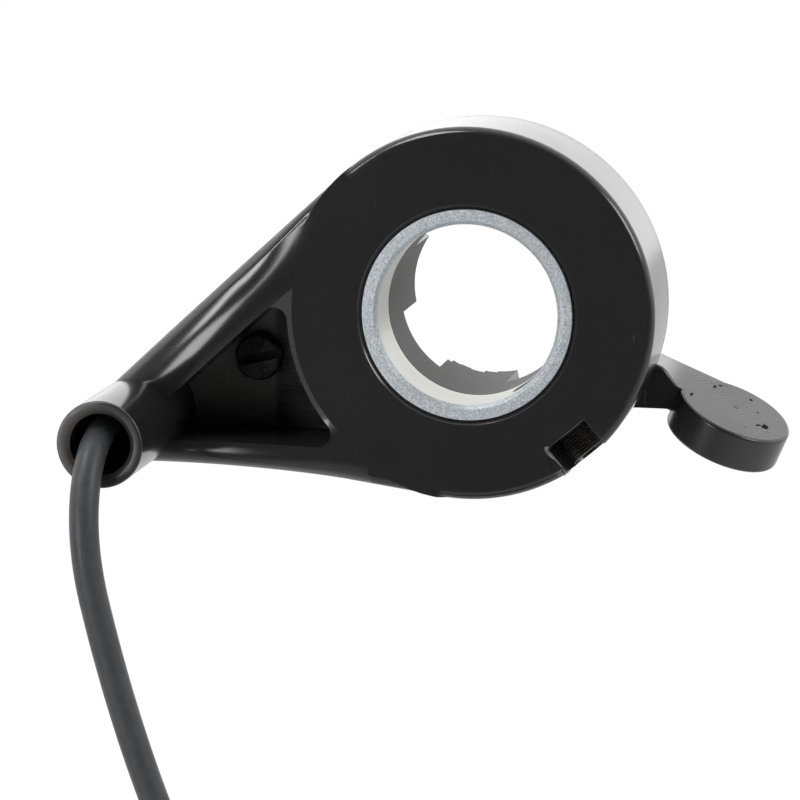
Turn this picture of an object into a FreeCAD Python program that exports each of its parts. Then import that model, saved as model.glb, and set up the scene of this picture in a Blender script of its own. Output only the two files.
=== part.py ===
import FreeCAD, Part
import math
import os

# Thumb throttle lever for a small electric bike, clamped on a handlebar.
# A teardrop housing holds a steel clamp ring, a hall sensor and the cable. A lever with a round
# thumb pad turns on the housing's hub, outboard of it, and a torsion spring brings it back.
# Millimetres. The bore runs along Y. The rider's grip is on the +Y side, -Y is the inboard face,
# and +Z is up. The origin is the middle of the clamp ring, on the bore's axis.

Vec = FreeCAD.Vector
ALONG_Y = Vec(0, 1, 0)

# Bar and clamp ring
BORE_R = 11.2
RING_WALL = 1.85
RING_LENGTH = 8.2
RING_CHAMFER = 0.45
RING_SEAT_GAP = 0.06
SEAT_CHAMFER = 0.55
FACE_Y = -RING_LENGTH / 2

# Housing
BODY_R = 23.1
HOUSING_DEPTH = 14.2
EDGE_ROUND = 1.2
HUB_WALL = 1.8
HUB_DEPTH = 17.1
CAVITY_INNER_SHARE = 0.19
RIM_SHARE = 0.2
CAVITY_DEPTH = 9.4

# Tail, its pocket and the cable tube
TUBE_X, TUBE_Z = -42.7, -14.9
TUBE_R = 5.39
TUBE_BORE_R = 3.8
TUBE_STANDS_OUT = 14.6
TUBE_LIP_CHAMFER = 0.5
TAIL_END_R = 5.3
TAIL_LOW_MIDDLE = (-29.3, -20.0)
TAIL_LOW_BODY_GAP = 3.04
TAIL_LOW_BODY_ANGLE = -126.37
TAIL_CROWN_R = 85.0
TAIL_CROWN_START = 26.0
POCKET_DEPTH = 13.0
POCKET_RIM_WALL = 0.6
POCKET_UPPER_WALL = 6.1
POCKET_LOWER_WALL = 3.15
POCKET_CORNER_R = 1.7

# Snap tabs that keep the lever on the hub
TAB_COUNT = 4
TAB_FIRST_ANGLE = 79.0
TAB_WIDTH_ANGLE = 46.0
TAB_REACH = 26.3
TAB_LIP = 0.9
TAB_LIP_LENGTH = 1.2
TORN_TAB = 2
TORN_STEPS = ((-2, 3.2), (3, 1.9), (9, 1.5), (16, 1.9), (25, 0.7), (33, 0.0))

# Clamp screw, M5, in a radial hole that the face is slotted over
SCREW_ANGLE = -49.5
M5_R = 2.5
M5_GAP = 0.05
SLOT_WIDTH = 5.85
SLOT_INNER_R = 19.0
SCREW_DEPTH = 4.1
GRUB_LENGTH = 6.0
GRUB_SOCKET_ACROSS = 2.5
GRUB_SOCKET_DEPTH = 2.4
GRUB_TIP_GAP = 0.15

# Rear cover and its screw
COVER_THICKNESS = 1.4
COVER_HUB_GAP = 0.1
COVER_SCREW_WALL_GAP = 0.401
COVER_SCREW_ALONG = 26.45
COVER_BOSS_R = 3.2
COVER_BOSS_HEIGHT = 3.4
M3_R = 1.5
M3_GAP = 0.1
M3_LENGTH = 5.2
M3_HEAD_R = 3.0
M3_HEAD_HEIGHT = 2.1
M3_SLOT_WIDTH = 1.2
M3_SLOT_DEPTH = 1.0
M3_SLOT_ANGLE = 13.0

# Sensor board, hall sensor and wires
BOARD_ANGLE = 112.0
BOARD_INNER_GAP = 0.6
BOARD_OUTER_GAP = 0.02
BOARD_LONG = 9.0
BOARD_THICKNESS = 0.8
SENSOR_WIDTH_SHARE = 0.6
SENSOR_THICKNESS = 1.5
SENSOR_LONG = 4.0
SENSOR_COVER_GAP = 0.1
CHANNEL_WIDTH = 3.6
CHANNEL_DEPTH = 3.0
WIRE_R = 0.45
WIRE_PITCH = 1.05
WIRE_BOARD_LIFT = 0.05
WIRE_STAGGER = 0.9
WIRE_SOLDER_TURN = 12.0
WIRE_CHANNEL_EXIT = 4.5

# Lever
LEVER_GAP = 0.45
LEVER_RUNNING_GAP = 0.08
LEVER_LENGTH = 8.4
LEVER_R = 20.5
LEVER_EDGE = 0.8
SPRING_GROOVE_INNER_R = 14.5
SPRING_GROOVE_OUTER_R = 17.4
SPRING_GROOVE_DEPTH = 6.4
ARM_ANGLE = -23.4
ARM_TOP = 1.25
ARM_BOTTOM = -3.5
ARM_END_IN_PAD = 4.3
GUSSET_START = 17.0
GUSSET_DROP = -7.4
GUSSET_PAD_GAP = 0.65
PAD_STANDS_OFF = 11.2
PAD_CENTRE_DEPTH = 17.3
PAD_R = 7.45
PAD_THICKNESS = 4.8
PAD_TILT = 11.4
PAD_EDGE_ROUND = 0.45

# Washers
WASHER_OUTER_R = 14.4
WASHER_THICKNESS = 0.4
KEEPER_OUTER_R = 16.6
KEEPER_THICKNESS = 0.6
FLAT_GAP = 0.02

# Magnets in the lever
MAGNET_RADIUS = 18.95
MAGNET_SIZE = (3.2, 3.0, 1.7)
MAGNET_SINK = 0.9
MAGNET_ANGLES = (88.0, 136.0)
MAGNET_GAP = 0.06

# Return spring
SPRING_WIRE_R = 0.4
SPRING_MEAN_R = 15.95
SPRING_PITCH = 1.25
SPRING_TURNS = 3.5
SPRING_ARCS_A_TURN = 8
SPRING_START_GAP = 0.75
SPRING_START_ANGLE = 200.0
SPRING_LEG_IN = 0.8

# Cable, its put-away coil and its connector
CABLE_R = 1.8
GROMMET_DEPTH = (3.4, 8.4)
GROMMET_GAP = 0.08
GROMMET_NECK_R = 3.0
GROMMET_NECK = (1.8, 3.2)
CABLE_LIFT = 1.8
COIL_MEAN_R = 20.0
COIL_ROWS = 4
COIL_TURNS_A_ROW = 2.75
COIL_PITCH = 3.7
COIL_CORNER_R = 1.7
COIL_CENTRE = (5.8, -22.2, -90.0)
COIL_ENTRY_ANGLE = 203.9
TIE_WIDTH = 4.0
TIE_THICKNESS = 1.0
TIE_GAP = 0.25
TIE_ANGLE = 62.0
CORD_END_GAP = 0.05
TAIL_DROP = 36.0
CONNECTOR_NECK_R = 2.7
CONNECTOR_R = 4.2
CONNECTOR_BODY_LENGTH = 15.0
CONNECTOR_TAPER = 7.0
CONNECTOR_SHELL_R = 4.8
CONNECTOR_SHELL_WALL = 0.9
CONNECTOR_SHELL_LENGTH = 8.5
CONNECTOR_INSERT_LENGTH = 3.0
CONNECTOR_FIT = 0.05
PIN_COUNT = 3
PIN_R = 0.5
PIN_CIRCLE_R = 1.7
PIN_LENGTH = 4.5

# Places along the bore that follow from the sizes above
BACK_Y = FACE_Y + HOUSING_DEPTH
COVER_BACK_Y = BACK_Y + COVER_THICKNESS
LEVER_Y = COVER_BACK_Y + LEVER_GAP
LEVER_BACK_Y = LEVER_Y + LEVER_LENGTH
POCKET_FLOOR_Y = FACE_Y + POCKET_DEPTH
HUB_R = BORE_R + HUB_WALL
HUB_END_Y = FACE_Y + HUB_DEPTH
TAB_END_Y = FACE_Y + TAB_REACH
RING_R = BORE_R + RING_WALL
SEAT_R = RING_R + RING_SEAT_GAP
POCKET_RIM_R = BODY_R - POCKET_RIM_WALL
POCKET_UPPER_OFFSET = BODY_R - POCKET_UPPER_WALL
BODY_WALL = BODY_R - SEAT_R
CAVITY_INNER_R = SEAT_R + CAVITY_INNER_SHARE * BODY_WALL
CAVITY_OUTER_R = BODY_R - RIM_SHARE * BODY_WALL
BOARD_INNER_EDGE = CAVITY_INNER_R + BOARD_INNER_GAP
BOARD_OUTER_EDGE = math.sqrt((CAVITY_OUTER_R - BOARD_OUTER_GAP) ** 2 - (BOARD_LONG / 2) ** 2)
BOARD_RADIUS = (BOARD_INNER_EDGE + BOARD_OUTER_EDGE) / 2
BOARD_RADIAL = BOARD_OUTER_EDGE - BOARD_INNER_EDGE
SENSOR_SIZE = (SENSOR_WIDTH_SHARE * BOARD_RADIAL, SENSOR_THICKNESS, SENSOR_LONG)
MOUTH_Y = FACE_Y - TUBE_STANDS_OUT
COIL_HALF_DEPTH = COIL_PITCH * COIL_TURNS_A_ROW / 2
COIL_HALF_WIDTH = COIL_PITCH * (COIL_ROWS - 1) / 2
COIL_OUTER_R = COIL_MEAN_R + COIL_HALF_DEPTH
PAD_Y = FACE_Y + PAD_CENTRE_DEPTH
PAD_CENTRE_R = BODY_R + PAD_STANDS_OFF
ARM_END = PAD_CENTRE_R - ARM_END_IN_PAD
GUSSET_END = PAD_CENTRE_R - PAD_R - GUSSET_PAD_GAP

# The tail's upper side is the outside tangent of the body circle and the tube circle
TAIL_LENGTH = math.hypot(TUBE_X, TUBE_Z)
TAIL_ANGLE = math.degrees(math.atan2(TUBE_Z, TUBE_X))
UPPER_NORMAL_ANGLE = TAIL_ANGLE - math.degrees(math.acos((BODY_R - TAIL_END_R) / TAIL_LENGTH))
COVER_SCREW_OFFSET = POCKET_UPPER_OFFSET - M3_HEAD_R - COVER_SCREW_WALL_GAP
UPPER_NORMAL = math.radians(UPPER_NORMAL_ANGLE)
COVER_SCREW_X = COVER_SCREW_OFFSET * math.cos(UPPER_NORMAL) - COVER_SCREW_ALONG * math.sin(UPPER_NORMAL)
COVER_SCREW_Z = COVER_SCREW_OFFSET * math.sin(UPPER_NORMAL) + COVER_SCREW_ALONG * math.cos(UPPER_NORMAL)


def polar(radius, degrees, y=0.0):
    """A point at that radius and angle about the bore, counted from +X towards +Z."""
    turn = math.radians(degrees)
    return Vec(radius * math.cos(turn), y, radius * math.sin(turn))


def angle_of(point):
    """The angle of a point about the bore, from 0 to 360 degrees."""
    return math.degrees(math.atan2(point.z, point.x)) % 360


def rod(radius, y0, y1, x=0.0, z=0.0):
    return Part.makeCylinder(radius, y1 - y0, Vec(x, y0, z), ALONG_Y)


def pipe(outer, inner, y0, y1, x=0.0, z=0.0):
    return rod(outer, y0, y1, x, z).cut(rod(inner, y0 - 1, y1 + 1, x, z))


def prism(edges, y0, y1):
    """Edges in the plane y = 0, closed and pushed along Y from y0 to y1."""
    face = Part.Face(Part.Wire(edges))
    face.translate(Vec(0, y0, 0))
    return face.extrude(Vec(0, y1 - y0, 0))


def polygon(points):
    closed = list(points) + [points[0]]
    return [Part.LineSegment(a, b).toShape() for a, b in zip(closed, closed[1:])]


def arc(start, middle, end):
    return Part.Arc(start, middle, end).toShape()


def block(size, centre, degrees=0.0):
    """A box with its sides along the radius, Y and the tangent, turned about the bore's direction."""
    sx, sy, sz = size
    shape = Part.makeBox(sx, sy, sz, Vec(-sx / 2, -sy / 2, -sz / 2))
    shape.rotate(Vec(0, 0, 0), ALONG_Y, -degrees)
    shape.translate(centre)
    return shape


def sector(outer, inner, y0, y1, centre_angle, width_angle):
    """A piece of a ring between two radial planes."""
    half = width_angle / 2
    a, b = centre_angle - half, centre_angle + half
    edges = [
        Part.LineSegment(polar(inner, a), polar(outer, a)).toShape(),
        arc(polar(outer, a), polar(outer, centre_angle), polar(outer, b)),
        Part.LineSegment(polar(outer, b), polar(inner, b)).toShape(),
        arc(polar(inner, b), polar(inner, centre_angle), polar(inner, a)),
    ]
    return prism(edges, y0, y1)


def radial_cylinder(radius, r0, r1, degrees, y):
    direction = polar(1, degrees)
    return Part.makeCylinder(radius, r1 - r0, polar(r0, degrees, y), direction)


def rounded_path(points):
    """Straight runs joined by tangent arcs, each as large as 0.45 of its shorter run allows."""
    edges = []
    radii = []
    start = points[0]
    for before, corner, after in zip(points, points[1:], points[2:]):
        into = corner.sub(before)
        out = after.sub(corner)
        turn = into.getAngle(out)
        reach = 0.45 * min(into.Length, out.Length)
        radii.append(reach / math.tan(turn / 2))
        enter = corner.sub(Vec(into).normalize().multiply(reach))
        leave = corner.add(Vec(out).normalize().multiply(reach))
        toward = enter.add(leave).multiply(0.5).sub(corner).normalize()
        centre_distance = math.hypot(radii[-1], reach)
        middle = corner.add(toward.multiply(centre_distance - radii[-1]))
        edges.append(Part.LineSegment(start, enter).toShape())
        edges.append(Part.Arc(enter, middle, leave).toShape())
        start = leave
    edges.append(Part.LineSegment(start, points[-1]).toShape())
    return Part.Wire(edges), radii


def swept(points, radius, label):
    """A round cord along the points, with its bend radii and its volume told in the build's output."""
    path, radii = rounded_path(points)
    first = points[1].sub(points[0])
    ring = Part.Wire(Part.makeCircle(radius, points[0], first))
    solid = path.makePipeShell([ring], True, False)
    expected = math.pi * radius ** 2 * path.Length
    listed = ", ".join("%.1f" % r for r in radii)
    share = solid.Volume / expected
    print("%s: length %.1f, radii %s, volume share %.4f" % (label, path.Length, listed, share))
    return solid


def tail_outline(inset=0.0):
    """The tail between the body's middle and the cable tube, as a closed chain of edges."""
    body = BODY_R - inset
    end = TAIL_END_R - inset
    near_body = polar(BODY_R + TAIL_LOW_BODY_GAP, TAIL_LOW_BODY_ANGLE).add(Vec(0, 0, inset))
    low_middle = Vec(TAIL_LOW_MIDDLE[0], 0, TAIL_LOW_MIDDLE[1] + inset)
    tube_centre = Vec(TUBE_X, 0, TUBE_Z)
    upper_body = polar(body, UPPER_NORMAL_ANGLE)
    upper_tube = tube_centre.add(polar(end, UPPER_NORMAL_ANGLE))
    tube_far = tube_centre.add(polar(end, TAIL_ANGLE))
    tube_low = tube_centre.add(polar(end, -90))
    reach = math.hypot(near_body.x, near_body.z)
    touch_angle = math.degrees(math.atan2(near_body.z, near_body.x) + math.acos(body / reach))
    low_body = polar(body, touch_angle)
    return [
        Part.LineSegment(upper_body, upper_tube).toShape(),
        arc(upper_tube, tube_far, tube_low),
        arc(tube_low, low_middle, near_body),
        Part.LineSegment(near_body, low_body).toShape(),
        Part.LineSegment(low_body, upper_body).toShape(),
    ]


def crowned_tail():
    """The tail's solid wall. Its inboard side falls away a little towards the tube."""
    tail = prism(tail_outline(), FACE_Y, BACK_Y)
    across = polar(1, TAIL_ANGLE + 90)
    centre = polar(TAIL_CROWN_START, TAIL_ANGLE, FACE_Y + TAIL_CROWN_R)
    half_span = 2 * BODY_R
    start = centre.sub(Vec(across).multiply(half_span))
    crown = Part.makeCylinder(TAIL_CROWN_R, 2 * half_span, start, across)
    return tail.common(crown)


def pocket():
    """The three-cornered recess between the tail's two walls, open to the inboard face."""
    normal = polar(1, UPPER_NORMAL_ANGLE)
    along = Vec(-normal.z, 0, normal.x)
    across = math.sqrt(POCKET_RIM_R ** 2 - POCKET_UPPER_OFFSET ** 2)
    upper = Vec(normal).multiply(POCKET_UPPER_OFFSET)
    top = upper.add(Vec(along).multiply(across))
    tube_offset = Vec(TUBE_X, 0, TUBE_Z).dot(along)
    upper_left = upper.add(Vec(along).multiply(tube_offset))
    lower_z = TAIL_LOW_MIDDLE[1] + POCKET_LOWER_WALL
    lower_left = Vec(TUBE_X, 0, lower_z - 0.4)
    lower_middle = Vec(TAIL_LOW_MIDDLE[0], 0, lower_z)
    corner_z = lower_z - 0.45
    corner = Vec(-math.sqrt(POCKET_RIM_R ** 2 - corner_z ** 2), 0, corner_z)
    side_angle = (angle_of(corner) + angle_of(top)) / 2
    edges = [
        Part.LineSegment(upper_left, top).toShape(),
        arc(top, polar(POCKET_RIM_R, side_angle), corner),
        arc(corner, lower_middle, lower_left),
        Part.LineSegment(lower_left, upper_left).toShape(),
    ]
    recess = prism(edges, FACE_Y - 2, POCKET_FLOOR_Y)
    sharp = [
        edge for edge in recess.Edges
        if abs(edge.Vertexes[0].X - edge.Vertexes[-1].X) < 1e-6
        and abs(edge.Vertexes[0].Z - edge.Vertexes[-1].Z) < 1e-6
        and edge.Vertexes[0].X > TUBE_X + TUBE_R
    ]
    return recess.makeFillet(POCKET_CORNER_R, sharp)


def front_edges(shape):
    """The outline edges of the inboard side, where the moulding is rounded."""
    found = []
    for edge in shape.Edges:
        middle = edge.valueAt((edge.FirstParameter + edge.LastParameter) / 2)
        on_outline = math.hypot(middle.x, middle.z) > BODY_R - 1
        if on_outline and edge.BoundBox.YMax < FACE_Y + BACK_Y / 2:
            found.append(edge)
    return found


def rounded(shape):
    return shape.makeFillet(EDGE_ROUND, front_edges(shape))


def snap_tabs():
    """Four tabs that carry on from the hub, each with a small lip that holds the lever's washer."""
    tabs = []
    for index in range(TAB_COUNT):
        angle = TAB_FIRST_ANGLE + index * 360 / TAB_COUNT
        tab = sector(HUB_R, BORE_R, HUB_END_Y - 1, TAB_END_Y, angle, TAB_WIDTH_ANGLE)
        lip_start = TAB_END_Y - TAB_LIP_LENGTH
        lip = sector(HUB_R + TAB_LIP, BORE_R, lip_start, TAB_END_Y, angle, TAB_WIDTH_ANGLE)
        tab = tab.fuse(lip)
        if index == TORN_TAB:
            tab = tab.cut(torn_edge(angle))
        tabs.append(tab)
    return tabs


def torn_edge(angle):
    """What is missing from one tab's end: a shallow, uneven break."""
    start = angle - TAB_WIDTH_ANGLE / 2
    pieces = []
    for (a, deep), (b, _) in zip(TORN_STEPS, TORN_STEPS[1:]):
        middle = start + (a + b) / 2
        pieces.append(sector(HUB_R + TAB_LIP + 1, BORE_R - 1, TAB_END_Y - deep, TAB_END_Y + 1, middle, b - a))
    return pieces[0].multiFuse(pieces[1:])


def wire_channel():
    """The groove in the tail's upper wall that takes the wires from the tube to the sensor."""
    normal = polar(1, UPPER_NORMAL_ANGLE)
    along = Vec(-normal.z, 0, normal.x)
    offset = channel_offset()
    tube_along = Vec(TUBE_X, 0, TUBE_Z).dot(along)
    length = abs(tube_along)
    centre = Vec(normal).multiply(offset).add(Vec(along).multiply(tube_along / 2))
    centre.y = BACK_Y - CHANNEL_DEPTH / 2
    return block((length, CHANNEL_DEPTH, CHANNEL_WIDTH), centre, math.degrees(math.atan2(along.z, along.x)))


def channel_offset():
    """How far the channel's middle line lies from the bore's axis."""
    return (POCKET_UPPER_OFFSET + CAVITY_OUTER_R) / 2 - 0.1


def housing_shell():
    shell = rounded(rod(BODY_R, FACE_Y, BACK_Y)).fuse(rounded(crowned_tail()))
    shell = shell.cut(pocket())
    shell = shell.fuse(cable_tube()).fuse(rod(HUB_R, FACE_Y + RING_LENGTH, HUB_END_Y))
    for tab in snap_tabs():
        shell = shell.fuse(tab)
    for cutter in housing_cuts():
        shell = shell.cut(cutter)
    shell = shell.fuse(board_ledge())
    return shell.removeSplitter()


def cable_tube():
    tube = rod(TUBE_R, MOUTH_Y, BACK_Y, TUBE_X, TUBE_Z)
    rim = [edge for edge in tube.Edges if abs(edge.BoundBox.YMax - MOUTH_Y) < 1e-6]
    return tube.makeFillet(TUBE_LIP_CHAMFER * 0.7, rim)


def housing_cuts():
    """Everything that is hollow in the housing, in the order it is cut."""
    cuts = [rod(BORE_R, FACE_Y - 1, TAB_END_Y + 1)]
    cuts.append(rod(SEAT_R, FACE_Y - 1, FACE_Y + RING_LENGTH))
    cuts.append(Part.makeCone(SEAT_R + SEAT_CHAMFER, SEAT_R, SEAT_CHAMFER, Vec(0, FACE_Y, 0), ALONG_Y))
    cuts.append(rod(TUBE_BORE_R, MOUTH_Y - 1, BACK_Y + 1, TUBE_X, TUBE_Z))
    mouth = TUBE_BORE_R + TUBE_LIP_CHAMFER
    cuts.append(Part.makeCone(mouth, TUBE_BORE_R, TUBE_LIP_CHAMFER, Vec(TUBE_X, MOUTH_Y, TUBE_Z), ALONG_Y))
    cuts.append(sensor_cavity())
    cuts.append(wire_channel())
    cuts.append(rod(M3_R + M3_GAP, POCKET_FLOOR_Y - 1, BACK_Y + 1, COVER_SCREW_X, COVER_SCREW_Z))
    cuts.append(radial_cylinder(M5_R, BORE_R, BODY_R + 2, SCREW_ANGLE, FACE_Y + SCREW_DEPTH))
    slot_length = BODY_R + 2 - SLOT_INNER_R
    centre = polar(SLOT_INNER_R + slot_length / 2, SCREW_ANGLE, FACE_Y + SCREW_DEPTH / 2 - 0.5)
    cuts.append(block((slot_length, SCREW_DEPTH + 1, SLOT_WIDTH), centre, SCREW_ANGLE))
    return cuts


def sensor_cavity():
    """The arc-shaped room between the hub and the rim, open to the back, that holds the sensor."""
    y0 = BACK_Y - CAVITY_DEPTH
    return sector(CAVITY_OUTER_R, CAVITY_INNER_R, y0, BACK_Y + 1, BOARD_ANGLE - 4, 76)


def board_ledge():
    """The step at the bottom of the cavity that the sensor board lies on."""
    top = board_y() - BOARD_THICKNESS / 2
    y0 = BACK_Y - CAVITY_DEPTH - 0.5
    size = (BOARD_RADIAL, top - y0, BOARD_LONG - 2)
    return block(size, polar(BOARD_RADIUS, BOARD_ANGLE, (top + y0) / 2), BOARD_ANGLE)


def board_y():
    """The middle of the sensor board's thickness."""
    return BACK_Y - SENSOR_COVER_GAP - SENSOR_SIZE[1] - BOARD_THICKNESS / 2


def rear_cover():
    cover = rod(BODY_R, BACK_Y, COVER_BACK_Y).fuse(prism(tail_outline(), BACK_Y, COVER_BACK_Y))
    boss_end = COVER_BACK_Y + COVER_BOSS_HEIGHT
    cover = cover.fuse(rod(COVER_BOSS_R, BACK_Y, boss_end, COVER_SCREW_X, COVER_SCREW_Z))
    cover = cover.removeSplitter()
    cover = cover.cut(rod(HUB_R + COVER_HUB_GAP, BACK_Y - 1, COVER_BACK_Y + 1))
    screw_tip = POCKET_FLOOR_Y + M3_LENGTH
    cover = cover.cut(rod(M3_R, BACK_Y - 1, screw_tip + 0.2, COVER_SCREW_X, COVER_SCREW_Z))
    leg = spring_leg_point(0)
    return cover.cut(rod(SPRING_WIRE_R + 0.1, COVER_BACK_Y - 1, COVER_BACK_Y + 1, leg.x, leg.z))


def clamp_ring():
    ring = pipe(RING_R, BORE_R, FACE_Y, FACE_Y + RING_LENGTH)
    mouth = BORE_R + RING_CHAMFER
    ring = ring.cut(Part.makeCone(mouth, BORE_R, RING_CHAMFER, Vec(0, FACE_Y, 0), ALONG_Y))
    back = Vec(0, FACE_Y + RING_LENGTH - RING_CHAMFER / 2, 0)
    ring = ring.cut(Part.makeCone(BORE_R, BORE_R + RING_CHAMFER / 2, RING_CHAMFER / 2, back, ALONG_Y))
    return ring.cut(radial_cylinder(M5_R, BORE_R - 2, RING_R + 2, SCREW_ANGLE, FACE_Y + SCREW_DEPTH))


def clamp_screw():
    inner = BORE_R + GRUB_TIP_GAP
    y = FACE_Y + SCREW_DEPTH
    screw = radial_cylinder(M5_R - M5_GAP, inner, inner + GRUB_LENGTH, SCREW_ANGLE, y)
    outward = polar(1, SCREW_ANGLE)
    tangent = polar(1, SCREW_ANGLE + 90)
    corner_r = GRUB_SOCKET_ACROSS / math.sqrt(3)
    base = polar(inner + GRUB_LENGTH - GRUB_SOCKET_DEPTH, SCREW_ANGLE, y)
    corners = []
    for index in range(6):
        turn = math.radians(60 * index)
        side = Vec(tangent).multiply(corner_r * math.cos(turn))
        up = Vec(0, corner_r * math.sin(turn), 0)
        corners.append(base.add(side).add(up))
    socket = Part.Face(Part.Wire(polygon(corners))).extrude(outward.multiply(GRUB_SOCKET_DEPTH + 1))
    return screw.cut(socket)


def cover_screw():
    head_y = POCKET_FLOOR_Y - M3_HEAD_HEIGHT
    head = rod(M3_HEAD_R, head_y, POCKET_FLOOR_Y, COVER_SCREW_X, COVER_SCREW_Z)
    rim = [edge for edge in head.Edges if abs(edge.BoundBox.YMax - head_y) < 1e-6]
    head = head.makeFillet(0.5, rim)
    shank = rod(M3_R - 0.02, POCKET_FLOOR_Y - 0.5, POCKET_FLOOR_Y + M3_LENGTH, COVER_SCREW_X, COVER_SCREW_Z)
    centre = Vec(COVER_SCREW_X, head_y + M3_SLOT_DEPTH / 2 - 0.5, COVER_SCREW_Z)
    slot = block((4 * M3_HEAD_R, M3_SLOT_DEPTH + 1, M3_SLOT_WIDTH), centre, M3_SLOT_ANGLE)
    return head.fuse(shank).removeSplitter().cut(slot)


def sensor_board():
    size = (BOARD_RADIAL, BOARD_THICKNESS, BOARD_LONG)
    return block(size, polar(BOARD_RADIUS, BOARD_ANGLE, board_y()), BOARD_ANGLE)


def hall_sensor():
    y = board_y() + BOARD_THICKNESS / 2 + SENSOR_SIZE[1] / 2
    return block(SENSOR_SIZE, polar(BOARD_RADIUS, BOARD_ANGLE - 7, y), BOARD_ANGLE)


def wire_points(index):
    """One of three wires: out of the grommet, along the channel, and down on the board's end."""
    normal = polar(1, UPPER_NORMAL_ANGLE)
    along = Vec(-normal.z, 0, normal.x)
    spread = (index - 1) * WIRE_PITCH
    offset = channel_offset() + spread
    run_y = BACK_Y - CHANNEL_DEPTH / 2
    start_along = Vec(TUBE_X, 0, TUBE_Z).dot(along) + WIRE_STAGGER * (index - 1)
    start = Vec(normal).multiply(offset).add(Vec(along).multiply(start_along))
    solder_y = board_y() + BOARD_THICKNESS / 2 + WIRE_R + WIRE_BOARD_LIFT
    pad = polar(BOARD_RADIUS + spread, BOARD_ANGLE + WIRE_SOLDER_TURN, solder_y)
    enter = Vec(normal).multiply(offset).add(Vec(along).multiply(WIRE_CHANNEL_EXIT))
    return [
        Vec(start.x, FACE_Y + GROMMET_DEPTH[1], start.z),
        Vec(start.x, run_y, start.z),
        Vec(enter.x, run_y, enter.z),
        pad,
    ]


def lever_direction():
    """The way the arm points, and the way its top side faces."""
    return polar(1, ARM_ANGLE), polar(1, ARM_ANGLE + 90)


def lever_point(out, up, y=0.0):
    outward, upward = lever_direction()
    point = Vec(outward).multiply(out).add(Vec(upward).multiply(up))
    point.y = y
    return point


def thumb_pad():
    """The round pad, its axis along the lever's travel and leaning inboard by the pad's tilt."""
    outward, upward = lever_direction()
    axis = FreeCAD.Rotation(outward, PAD_TILT).multVec(upward)
    centre = lever_point(PAD_CENTRE_R, 0, PAD_Y)
    base = centre.sub(Vec(axis).multiply(PAD_THICKNESS))
    pad = Part.makeCylinder(PAD_R, PAD_THICKNESS, base, axis)
    rims = [edge for edge in pad.Edges if edge.Curve.TypeId == "Part::GeomCircle"]
    return pad.makeFillet(PAD_EDGE_ROUND, rims)


def lever_arm():
    """The flat bar between the hub ring and the pad, with a gusset under its root."""
    corners = [
        lever_point(GUSSET_START, ARM_TOP),
        lever_point(ARM_END, ARM_TOP),
        lever_point(ARM_END, ARM_BOTTOM),
        lever_point(GUSSET_END, ARM_BOTTOM),
        lever_point(GUSSET_START, GUSSET_DROP),
    ]
    arm = prism(polygon(corners), LEVER_Y, LEVER_BACK_Y)
    long_edges = []
    outward, _ = lever_direction()
    for edge in arm.Edges:
        direction = edge.Vertexes[-1].Point.sub(edge.Vertexes[0].Point).normalize()
        if abs(direction.dot(outward)) > 0.999:
            long_edges.append(edge)
    return arm.makeFillet(0.5, long_edges)


def magnet(index, gap=0.0):
    radial, long, tangential = MAGNET_SIZE
    size = (tangential + 2 * gap, long + gap, radial + 2 * gap)
    y = LEVER_Y + MAGNET_SINK + long / 2 - gap / 2
    if gap:
        size = (size[0], long + gap + MAGNET_SINK + 1, size[2])
        y = LEVER_Y - 1 + size[1] / 2
    return block(size, polar(MAGNET_RADIUS, MAGNET_ANGLES[index], y), MAGNET_ANGLES[index])


def lever():
    ring = rod(LEVER_R, LEVER_Y, LEVER_BACK_Y)
    edges = [edge for edge in ring.Edges if edge.Curve.TypeId == "Part::GeomCircle"]
    ring = ring.makeFillet(LEVER_EDGE, edges)
    body = ring.fuse(lever_arm()).fuse(thumb_pad()).removeSplitter()
    body = body.cut(rod(HUB_R + LEVER_RUNNING_GAP, LEVER_Y - 1, LEVER_BACK_Y + 1))
    groove = pipe(SPRING_GROOVE_OUTER_R, SPRING_GROOVE_INNER_R, LEVER_Y - 1, LEVER_Y + SPRING_GROOVE_DEPTH)
    body = body.cut(groove)
    for index in range(len(MAGNET_ANGLES)):
        body = body.cut(magnet(index, MAGNET_GAP))
    leg = spring_leg_point(1)
    return body.cut(rod(SPRING_WIRE_R + 0.1, LEVER_Y, LEVER_Y + SPRING_GROOVE_DEPTH + 1.2, leg.x, leg.z))


def magnet_cap(index):
    """A thin plug over each magnet, flush with the lever's near side."""
    radial, _, tangential = MAGNET_SIZE
    size = (tangential, MAGNET_SINK - 0.1, radial)
    y = LEVER_Y + 0.05 + size[1] / 2
    return block(size, polar(MAGNET_RADIUS, MAGNET_ANGLES[index], y), MAGNET_ANGLES[index])


def spring_point(turns):
    """The middle of the spring's wire after that many turns of its coil."""
    y = COVER_BACK_Y + SPRING_START_GAP + SPRING_PITCH * turns
    return polar(SPRING_MEAN_R, SPRING_START_ANGLE - 360 * turns, y)


def spring_leg_point(end):
    """Where a leg leaves the spring's coil: end 0 is the cover's, 1 the lever's."""
    overlap = 0.5 * SPRING_WIRE_R / (2 * math.pi * SPRING_MEAN_R)
    return spring_point(SPRING_TURNS - overlap if end else overlap)


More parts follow.
